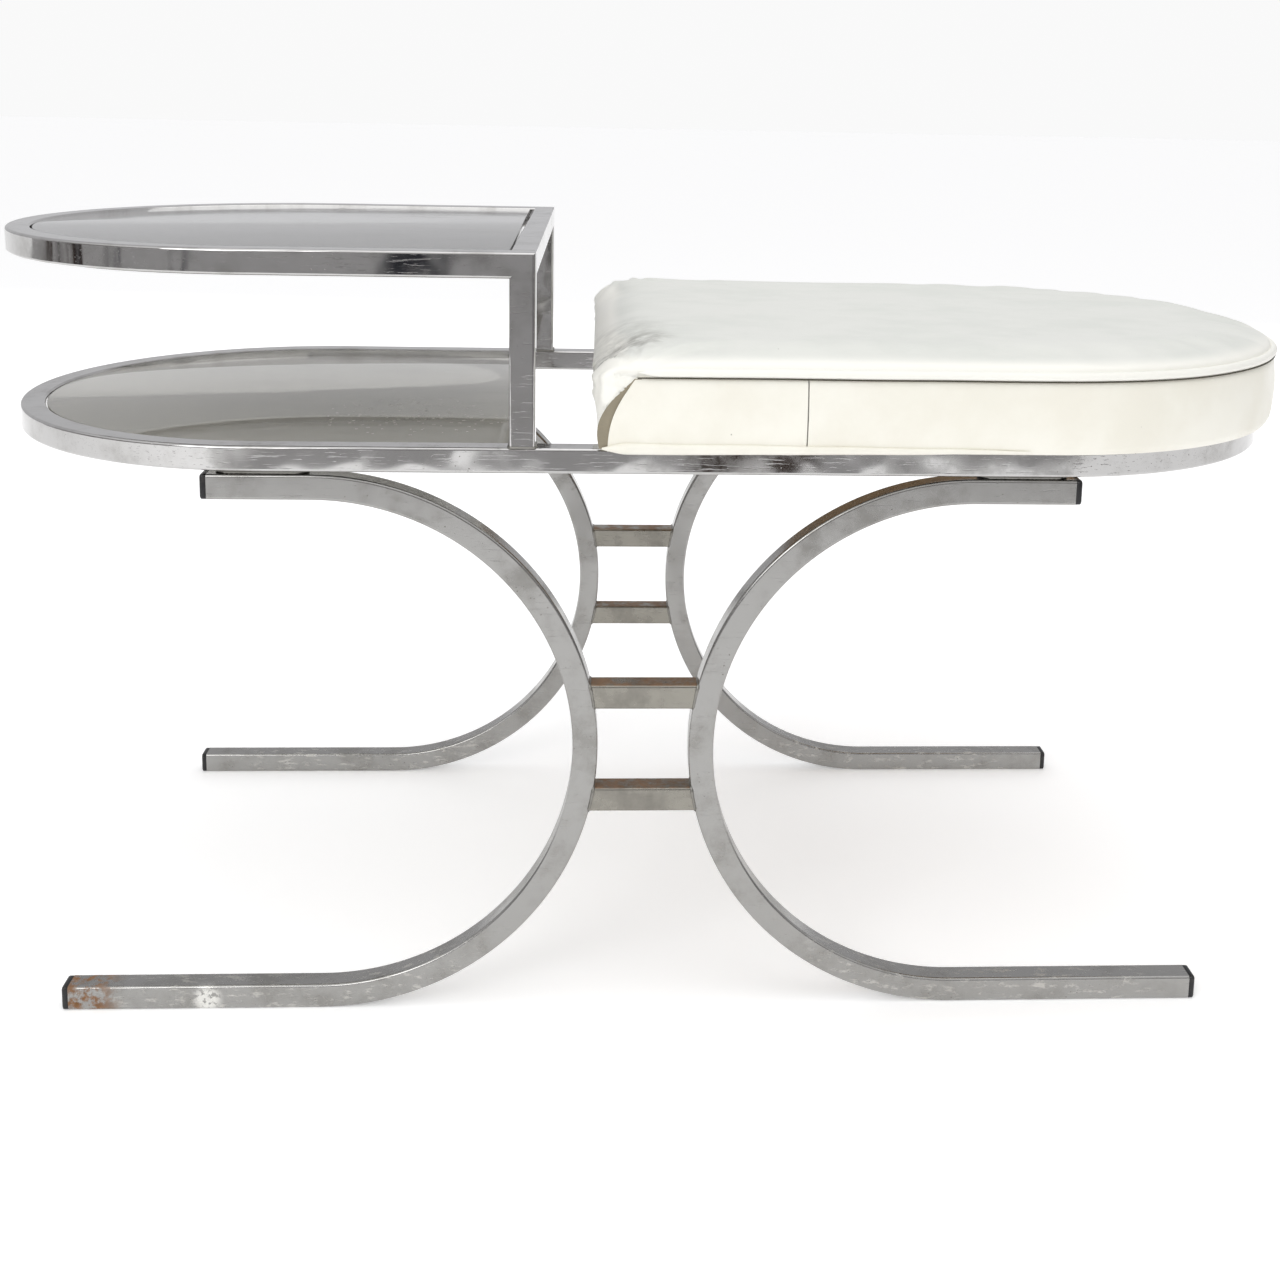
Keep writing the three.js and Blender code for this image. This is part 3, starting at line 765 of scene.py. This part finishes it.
def makeScrews():
    for node in [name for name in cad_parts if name.startswith("seat_screw_")]:
        lo, hi = low(node), high(node)
        centre = (lo + hi) / 2
        headTop, head, shank = lo.z + screwShape["headHeight"], screwShape["head"], screwShape["shank"]
        verts = []
        profile = [(0.0008, lo.z + 0.0009), (0.001, lo.z), (0.0026, lo.z + 0.0002),
                   (0.0038, lo.z + 0.0009), (head, lo.z + 0.002), (head, headTop),
                   (shank, headTop)]  # radius and height, up from the recess in the head
        z = headTop + 0.0004
        while z < hi.z - 0.002:
            profile += [(shank, z), (screwShape["core"], z + screwShape["pitch"] / 2)]
            z += screwShape["pitch"]
        profile += [(0.0014, hi.z - 0.001), (0.0004, hi.z)]
        sides = screwShape["sides"]
        for radius, height in profile:
            for k in range(sides):
                angle = 2 * math.pi * k / sides
                verts.append((centre.x + radius * math.cos(angle),
                              centre.y + radius * math.sin(angle), height))
        screw = addMesh("panScrew_" + node, verts, loftFaces(len(profile), sides), zinc)
        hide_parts(node)


makeScrews()
print("stage: board and screws made")

seat = {
    "seamRise": 0.0545,  # height of the seam above the cushion's bottom
    "coreInset": 0.0035,  # cover's side behind the band
    "voxel": 0.006,
    "puff": 4.0,  # pressure inside the cover
    "puffLimit": 0.004,  # most that a point may move
    "cornerRadius": 0.022,  # left corners, seen from above
    "crease": 0.0014,  # height of the creases round the left corners
    "creaseReach": 0.075,
    "dents": [((0.012, -0.165), 0.034, 0.006), ((0.024, -0.2), 0.018, 0.003),
              ((0.185, 0.09), 0.02, 0.0012), ((0.39, 0.10), 0.02, 0.0012),
              ((0.03, 0.12), 0.05, 0.0018)],  # place from the left end, radius, depth
    "endRound": 0.014,  # drop of the top at the left end
    "endLength": 0.05,
    "wrapGap": 0.007,  # widest opening between the fold and the band
    "wrapFold": 0.037,  # from the left end to where the band starts, at the seam
    "wrapLean": 0.021,  # how far the band's start leans left towards the bottom
    "bandSplit": 0.161,  # from the left end to the band's upright seam
}
seamZ = seatLow.z + seat["seamRise"]


def seatOutline(inset, count=72):
    left, right, half = seatLow.x + inset, seatHigh.x - inset, seatHigh.y - inset
    corner = max(seat["cornerRadius"] - inset * 0.5, 0.004)
    line = arc(right - half, 0, half, -math.pi / 2, math.pi / 2, count)
    line += arc(left + corner, half - corner, corner, math.pi / 2, math.pi, 10)
    line += arc(left + corner, corner - half, corner, math.pi, math.pi * 1.5, 10)
    return line


def buildCore():
    bottom = seatLow.z + 0.0005
    inset = seat["coreInset"]
    crown = seatHigh.z
    rows = [(0.03, bottom), (inset + 0.003, bottom + 0.001), (inset, bottom + 0.006),
            (inset, seamZ - 0.004), (0.001, seamZ + 0.0015), (0.0002, seamZ + 0.006),
            (0.0014, seamZ + 0.0102), (0.0045, seamZ + 0.0135), (0.011, seamZ + 0.0155),
            (0.027, crown - 0.001), (0.06, crown - 0.0004), (0.11, crown)]  # inset and height
    verts = []
    for rowInset, z in rows:
        verts += [(x, y, z) for x, y in seatOutline(rowInset)]
    faces = loftFaces(len(rows), len(seatOutline(0)))
    return addMesh("seatCover", verts, faces, coverVinyl)


def inflate(obj):
    remesh = obj.modifiers.new("evenMesh", "REMESH")
    remesh.mode = "VOXEL"
    remesh.voxel_size = seat["voxel"]
    remesh.use_smooth_shade = True
    applyModifiers(obj)
    rest = [v.co.copy() for v in obj.data.vertices]
    group = obj.vertex_groups.new(name="held")
    for vertex in obj.data.vertices:
        if vertex.co.z < seamZ - 0.008:
            group.add([vertex.index], 1.0, "REPLACE")
    cloth = obj.modifiers.new("vinylOverFoam", "CLOTH")
    settings = cloth.settings
    settings.use_pressure = True
    settings.uniform_pressure_force = seat["puff"]
    settings.effector_weights.gravity = 0
    settings.vertex_group_mass = "held"
    settings.quality = 5
    settings.tension_stiffness = 40
    settings.compression_stiffness = 40
    settings.bending_stiffness = 2
    cloth.point_cache.frame_start, cloth.point_cache.frame_end = 1, 20
    for number in range(1, 21):
        bpy.context.scene.frame_set(number)
    applyModifiers(obj)
    for vertex, before in zip(obj.data.vertices, rest):
        shift = vertex.co - before
        if shift.length > seat["puffLimit"]:
            vertex.co = before + shift.normalized() * seat["puffLimit"]


def smoothStep(value, start, end):
    t = min(1.0, max(0.0, (value - start) / (end - start)))
    return t * t * (3 - 2 * t)


def wrapLineX(z):
    down = (seamZ - z) / seat["seamRise"]  # x of the fold on the front face at this height
    bend = 0.006 * math.sin(math.pi * min(1.0, max(0.0, down)))
    return seatLow.x + seat["wrapFold"] - seat["wrapLean"] * down - bend


def gapAt(z):
    down = min(1.0, max(0.0, (seamZ - z) / seat["seamRise"]))
    return seat["wrapGap"] * math.sin(math.pi * 0.8 * down) ** 1.3


def shapeCover(obj):
    left = seatLow.x
    front = seatHigh.y
    facing = [vertex.normal.copy() for vertex in obj.data.vertices]
    for vertex, n in zip(obj.data.vertices, facing):
        p = vertex.co.copy()
        fromEnd = p.x - left
        if p.z > seamZ - 0.025:
            drop = seat["endRound"] * (1 - min(1.0, fromEnd / seat["endLength"])) ** 2.4
            p.z -= drop * smoothStep(p.z, seamZ - 0.025, seamZ + 0.014)
        if fromEnd < 0.02 and p.z < seamZ:
            p.x += 0.006 * smoothStep(seamZ - p.z, 0.0, 0.04) * (1 - fromEnd / 0.02)
        sideFace = smoothStep(abs(n.y), 0.7, 0.9)
        if sideFace and p.z < seamZ + 0.002:
            fold = wrapLineX(p.z) - gapAt(p.z) - p.x  # left of the fold the cover lies over the band
            proud = smoothStep(fold, 0.0, 0.002) * sideFace
            p.y += math.copysign(0.0036, p.y) * proud
        for sign in (-1, 1):
            corner = Vector((left + seat["wrapFold"], sign * (front - 0.004), seamZ + 0.004))
            away = p - corner
            distance = away.length
            if distance < 0.2 and p.z > seamZ - 0.02:
                angle = math.atan2(away.y * -sign, -away.x)
                wave = math.sin(angle * 11 + distance * 16 + sign * 0.7)
                wave += 0.6 * math.sin(angle * 19 - distance * 30)
                size = seat["crease"] * math.exp(-(distance / seat["creaseReach"]) ** 2)
                p += n * wave * size * smoothStep(distance, 0, 0.02)
        if n.z > 0.2:
            for (x, y), radius, depth in seat["dents"]:
                away = (p.x - left - x) ** 2 + (p.y - y) ** 2
                p.z -= depth * math.exp(-away / radius ** 2)
            slack = noise.noise(Vector((p.x * 9, p.y * 9, 3.1)))
            p.z += 0.0009 * slack
        p.z = min(p.z, seatHigh.z + 0.0035)
        vertex.co = p


def bandPoint(distance):
    half, right = seatHigh.y, seatHigh.x  # place and outward way, this far from the left end
    straight = right - half - seatLow.x
    turnLength = math.pi * half
    if distance < straight:
        return Vector((seatLow.x + distance, -half, 0)), Vector((0, -1, 0))
    if distance < straight + turnLength:
        angle = -math.pi / 2 + (distance - straight) / half
        way = Vector((math.cos(angle), math.sin(angle), 0))
        return Vector((right - half, 0, 0)) + way * half, way
    rest = distance - straight - turnLength
    return Vector((right - half - rest, half, 0)), Vector((0, 1, 0))


band = {
    "thickness": 0.0012,
    "fullness": 0.0022,  # how far it swells between its edges
    "depth": 0.0026,  # its edges behind the cushion's outline
    "bow": 0.006,  # curve of its slanting ends
    "rows": 22,
    "columnSize": 0.0045,
}


def makeBand(name, start, end, leanStart, leanEnd):
    rows, columns = band["rows"], max(40, int((end - start) / band["columnSize"]))
    bottom, top = seatLow.z - 0.0004, seamZ + 0.0006
    verts, faces = [], []
    for layer in (0, 1):
        for i in range(columns + 1):
            t = i / columns
            for k in range(rows + 1):
                height = k / rows
                lean = (1 - height) * (leanStart * (1 - t) ** 6 + leanEnd * t ** 6)
                bow = band["bow"] * math.sin(math.pi * height)
                lean += bow * ((1 - t) ** 6 * (leanStart != 0) * -1 + t ** 6 * (leanEnd != 0))
                run = start + (end - start) * t + lean
                place, way = bandPoint(run)
                z = bottom + (top - bottom) * height
                bulge = band["fullness"] * math.sin(math.pi * min(1.0, height * 1.02)) ** 0.7
                wave = noise.noise(Vector((run * 14, height * 1.6, 0.5))) * 0.0009
                wave += noise.noise(Vector((run * 45, height * 3.0, 7.5))) * 0.00035
                tuck = -0.0016 * smoothStep(height, 0.93, 1.0) - 0.0018 * smoothStep(
                    0.08 - height, 0.0, 0.08)
                depth = bulge - band["depth"] + wave * math.sin(math.pi * height) + tuck
                depth -= layer * band["thickness"]
                point = place + way * depth
                verts.append((point.x, point.y, z))
    size = rows + 1
    layerSize = (columns + 1) * size
    for layer in (0, 1):
        for i in range(columns):
            for k in range(rows):
                a = layer * layerSize + i * size + k
                quad = (a, a + size, a + size + 1, a + 1)
                faces.append(quad if layer == 0 else quad[::-1])
    for i in range(columns):
        for k, flip in ((0, True), (rows, False)):
            a = i * size + k
            quad = (a, a + size, a + size + layerSize, a + layerSize)
            faces.append(quad[::-1] if flip else quad)
    for i, flip in ((0, False), (columns, True)):
        for k in range(rows):
            a = i * size + k
            quad = (a, a + 1, a + 1 + layerSize, a + layerSize)
            faces.append(quad[::-1] if flip else quad)
    strip = addMesh(name, verts, faces, bandVinyl)
    faceOutward(strip)
    strip.data.set_sharp_from_angle(angle=math.radians(50))


# The inside seen through the open wrap gap, drawn as a dark beige sheet: painted shade in the gap
def makeShadedLining(sign, name):
    rows, columns = 16, 8
    verts, faces = [], []
    for i in range(rows + 1):
        z = seatLow.z + 0.002 + (seat["seamRise"] - 0.003) * i / rows
        x0, x1 = wrapLineX(z) - gapAt(z) - 0.002, wrapLineX(z) + 0.004
        for k in range(columns + 1):
            x = x0 + (x1 - x0) * k / columns
            ruck = 0.0005 * noise.noise(Vector((x * 90, z * 60, sign)))
            verts.append((x, sign * (seatHigh.y - seat["coreInset"] + 0.0008 + ruck), z))
    for i in range(rows):
        for k in range(columns):
            a = i * (columns + 1) + k
            quad = (a, a + 1, a + columns + 2, a + columns + 1)
            faces.append(quad if sign < 0 else quad[::-1])
    lining = addMesh(name, verts, faces, shadedGapLining)


def vinylCord(name, points, radiusAt, material, sides):
    verts = []
    count = len(points)
    for i, point in enumerate(points):
        along = (points[min(i + 1, count - 1)] - points[max(i - 1, 0)]).normalized()
        a = along.cross(Vector((0, 0, 1))).normalized()
        b = along.cross(a)
        radius = radiusAt(i / (count - 1))
        for k in range(sides):
            angle = 2 * math.pi * k / sides
            verts.append(point + (a * math.cos(angle) + b * math.sin(angle)) * radius)
    piece = addMesh(name, verts, loftFaces(count, sides), material)
    faceOutward(piece)


seams = {
    "thread": 0.0006,  # radii
    "bead": 0.0034,
    "lip": 0.0042,
    "lipStart": 0.025,  # how far left of the band's start the folded lip begins
    "lipReach": 0.29,  # and how far right of it the lip thins out
}


def makeSeams(start, end):
    count = 260
    seamPoints, beadPoints, lipPoints = [], [], []
    for i in range(count + 1):
        run = start + (end - start) * i / count
        place, way = bandPoint(run)
        wander = noise.noise(Vector((run * 12, 2.2, 0))) * 0.0004
        seamPoints.append(place + way * -0.0014 + Vector((0, 0, seamZ + wander)))
        beadPoints.append(place + way * -0.0034 + Vector((0, 0, seamZ + 0.0036 + wander)))
    # painted shadow: a dark line along the seam, under the shoulder bead
    vinylCord("seamLine", seamPoints, lambda t: seams["thread"], seamShadowMaterial, 6)
    vinylCord("shoulderBead", beadPoints,
              lambda t: seams["bead"] * smoothStep(min(t, 1 - t), -0.002, 0.01), coverVinyl, 14)
    for i in range(121):
        run = start - seams["lipStart"] + (seams["lipReach"] + seams["lipStart"]) * i / 120
        place, way = bandPoint(run)
        wander = noise.noise(Vector((run * 16, 5.2, 0))) * 0.0006
        lipPoints.append(place + way * (-0.0012 + wander) +
                         Vector((0, 0, seatLow.z + 0.0022 + wander)))
    vinylCord("foldedLip", lipPoints,
              lambda t: seams["lip"] * (1 - t) ** 0.5 * smoothStep(t, -0.02, 0.06) + 0.0002,
              bandVinyl, 12)


# painted shade: grey patches for the shade in the creases near the left end; place and radius, then
# strength
creaseShading = [((Vector((seatLow.x + 0.026, -0.175, seatHigh.z)), 0.05), 0.85),
           ((Vector((seatLow.x + 0.004, -0.12, seamZ)), 0.09), 0.34)]
coverVinyl = whiteVinyl("softWhiteVinylCover", vinylLook["cover"], creaseShading)
bandVinyl = whiteVinyl("softWhiteVinylBand", vinylLook["band"])
shadedGapLining = whiteVinyl("clothBackedLining", vinylLook["lining"])
seamShadowMaterial = seamShadowLine()


def makeCushion():
    cover = buildCore()
    inflate(cover)
    bpy.context.scene.frame_set(1)
    subdivide = cover.modifiers.new("finer", "SUBSURF")
    subdivide.levels = subdivide.render_levels = 1
    applyModifiers(cover)
    shapeCover(cover)
    for polygon in cover.data.polygons:
        polygon.use_smooth = True
    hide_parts("seat_cushion")
    start = seat["wrapFold"]
    straight = seatHigh.x - seatHigh.y - seatLow.x
    total = 2 * straight + math.pi * seatHigh.y - start
    lean = -seat["wrapLean"]
    makeBand("boxBand_front", start, seat["bandSplit"] - 0.0005, lean, 0.0)
    makeBand("boxBand_round", seat["bandSplit"] + 0.0005, total, 0.0, -lean)
    makeSeams(start, total)
    makeShadedLining(-1, "wrapLining_front")
    makeShadedLining(1, "wrapLining_rear")


makeCushion()
print("stage: cushion made")

studio = {
    "floor": "#fbfbfb",
    "floorGlow": 0.25,
    "cardTop": 0.5,  # height of the dim room that the plating mirrors
    "roomStrength": 0.95,
    "overhead": 12,  # powers of the three lights
    "front": 26,
    "backWash": 26,
    "cameraPlace": (-0.0474, -1.3522, 0.701),
    "yaw": 0.0546,
    "pitch": 0.1705,
    "roll": 0.0205,
    "lens": 44.35,
    "shift": (-0.0335, -0.2148),
}


def makeFloor():
    mesh = bpy.data.meshes.new("paleFloor")
    reach = 30.0
    mesh.from_pydata([(-reach, -reach, 0), (reach, -reach, 0), (reach, reach, 0),
                      (-reach, reach, 0)], [], [(0, 1, 2, 3)])
    floor = bpy.data.objects.new("paleFloor", mesh)
    bpy.context.scene.collection.objects.link(floor)
    material, shader, place = newMaterial("paleStudioFloor", {"Roughness": 0.9})
    shader.inputs["Base Color"].default_value = colour(studio["floor"])
    shader.inputs["Emission Color"].default_value = colour("#ffffff")
    shader.inputs["Emission Strength"].default_value = studio["floorGlow"]
    mesh.materials.append(material)


def makeRoomCard():
    line = [(-3.2, 1.0), (-3.0, -1.2), (-1.8, -2.0), (1.8, -2.0), (3.0, -1.2), (3.2, 1.0)]
    verts = [(x, y, z) for x, y in line for z in (0.0, studio["cardTop"])]
    faces = [(2 * i, 2 * i + 2, 2 * i + 3, 2 * i + 1) for i in range(len(line) - 1)]
    mesh = bpy.data.meshes.new("dimRoomCard")
    mesh.from_pydata(verts, [], faces)
    card = bpy.data.objects.new("dimRoomCard", mesh)
    bpy.context.scene.collection.objects.link(card)
    material, shader, place = newMaterial("matteRoomCard", {"Roughness": 1.0})
    shade = patches(material, place, 520, 0.5, 0.6, 3.0, 0.6, (1.0, 1.0, 0.5))
    warm = patches(material, place, 900, 0.45, 0.55, 1.0)
    dark = addNode(material, "Mix", {0: warm, 6: colour("#10131f"), 7: colour("#33241b")},
                   2, **inColour)
    tone = addNode(material, "Mix", {0: shade, 6: colour("#a9a8a8"), 7: dark}, 2, **inColour)
    material.node_tree.links.new(tone, shader.inputs["Base Color"])
    mesh.materials.append(material)
    card.visible_camera = card.visible_shadow = card.visible_diffuse = False


def addArea(name, place, target, size, power, mirrored=True):
    light = bpy.data.lights.new(name, "AREA")
    light.shape = "RECTANGLE"
    light.size, light.size_y = size
    light.energy = power
    lamp = bpy.data.objects.new(name, light)
    lamp.location = place
    way = Vector(target) - Vector(place)
    lamp.rotation_euler = way.to_track_quat("-Z", "Y").to_euler()
    lamp.visible_glossy = mirrored
    bpy.context.scene.collection.objects.link(lamp)


def makeLight():
    world = bpy.data.worlds.new("softRoom")
    bpy.context.scene.world = world
    world.use_nodes = True
    room = world.node_tree.nodes["Background"]
    room.inputs["Strength"].default_value = studio["roomStrength"]
    way = addNode(world, "TexCoord", output="Generated")
    height = addNode(world, "MapRange", (addNode(world, "SeparateXYZ", (way,), "Z"), -0.2, 1.0))
    graded = addNode(world, "ValToRGB", (height,))
    ramp = graded.node
    stops = [(0.0, "#5f5b56"), (0.17, "#6a6561"), (0.24, "#85807b"), (0.36, "#a9a8aa"),
             (0.6, "#ffffff")]
    for index in (0, 1):
        ramp.color_ramp.elements[index].position = stops[-index][0]
        ramp.color_ramp.elements[index].color = colour(stops[-index][1])
    for position, tone in stops[1:-1]:
        ramp.color_ramp.elements.new(position).color = colour(tone)
    behind = addNode(world, "SeparateXYZ", (way,), "Y")  # the wall behind the bench is white
    behind = addNode(world, "MapRange", (behind, -0.3, 0.5), **smooth)
    glow = addNode(world, "Mix", {0: behind, 6: graded, 7: colour("#d0d0d2")}, 2, **inColour)
    seen = addNode(world, "LightPath", output="Is Camera Ray")
    backdrop = addNode(world, "Mix", {0: seen, 6: glow, 7: colour("#ffffff")}, 2, **inColour)
    world.node_tree.links.new(backdrop, room.inputs["Color"])
    addArea("overheadSoftbox", (0.2, -0.2, 2.6), (0, 0, 0.3), (2.4, 2.0), studio["overhead"])
    addArea("frontSoftbox", (-1.6, -2.6, 1.9), (0, 0, 0.35), (1.6, 1.6), studio["front"])
    addArea("backWash", (0.3, 3.2, 1.5), (0, 0.5, 0.3), (5.0, 2.4), studio["backWash"],
            mirrored=False)
    scene = bpy.context.scene
    scene.view_settings.view_transform = "Standard"
    scene.view_settings.exposure = 0.0


def makeCamera():
    camera = bpy.data.cameras.new("benchCamera")
    camera.lens = studio["lens"]
    camera.sensor_width = 36
    camera.shift_x, camera.shift_y = studio["shift"]
    yaw, pitch, roll = studio["yaw"], studio["pitch"], studio["roll"]
    ahead = Vector((math.sin(yaw) * math.cos(pitch), math.cos(yaw) * math.cos(pitch),
                    -math.sin(pitch)))
    right = Vector((math.cos(yaw), -math.sin(yaw), 0))
    up = right.cross(ahead)
    rightR = right * math.cos(roll) + up * math.sin(roll)
    upR = up * math.cos(roll) - right * math.sin(roll)
    turn = Matrix((rightR, upR, -ahead)).transposed()
    obj = bpy.data.objects.new("benchCamera", camera)
    obj.matrix_world = Matrix.Translation(studio["cameraPlace"]) @ turn.to_4x4()
    bpy.context.scene.collection.objects.link(obj)
    bpy.context.scene.camera = obj


makeFloor()
makeRoomCard()
makeLight()
makeCamera()
print("stage: studio made")
